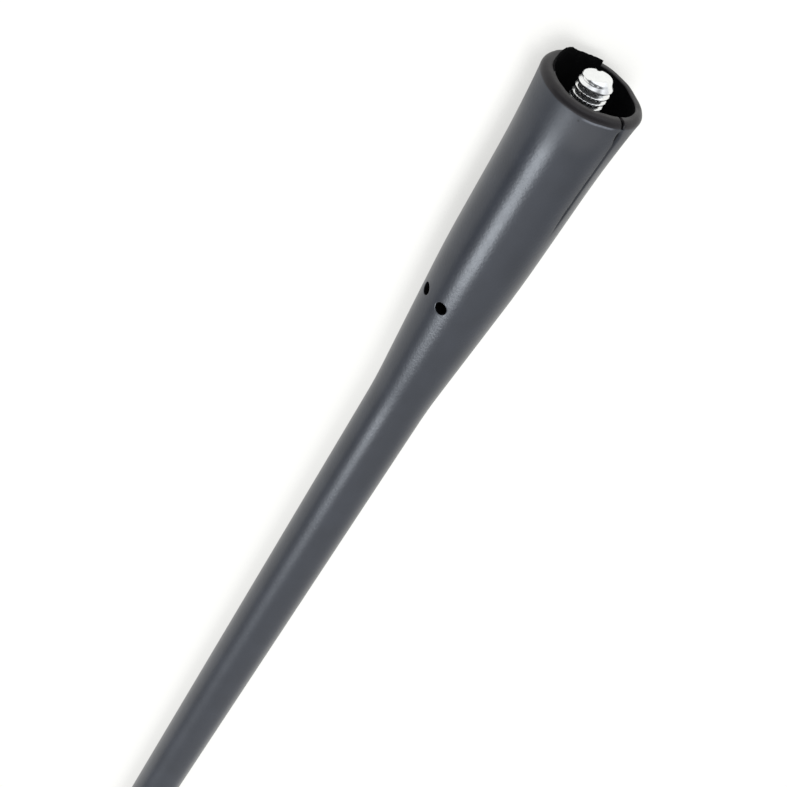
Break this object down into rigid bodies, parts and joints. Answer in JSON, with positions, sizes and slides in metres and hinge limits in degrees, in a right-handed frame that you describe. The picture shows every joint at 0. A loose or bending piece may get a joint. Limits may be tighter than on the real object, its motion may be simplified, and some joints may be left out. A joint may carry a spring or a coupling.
{
  "type": "car mast aerial",
  "caption": "Flexible rubber car roof aerial mast: flared hollow foot round a threaded metal stud, long tapering sheath with a rounded tip.",
  "frame": {"origin": "on the mast's axis, in the plane of the foot's rim; the stud's tip stands 1.45 mm below it", "axes": "+Z along the mast, from the rim towards the tip; the stud points along -Z; the mould's parting lines run up the foot at -X and +X, and -Y is the side with the two locating-pin holes that the picture shows"},
  "size_m": [0.0156, 0.0156, 0.4014],
  "materials": {
    "rubber": "satin moulded rubber, dark blue-grey to black",
    "plated_metal": "bright plated, turned",
    "glass_fibre": "pultruded glass fibre, natural",
    "copper": "enamelled copper wire",
    "solder": "soft solder",
    "sleeve": "shrunk sleeve"
  },
  "bodies": {
    "root": {"jacket": "rubber", "base_stud": "plated_metal", "core_rod": "glass_fibre", "wire_winding": "copper", "solder_joint": "solder", "shrink_sleeve": "sleeve"}
  },
  "joints": []
}
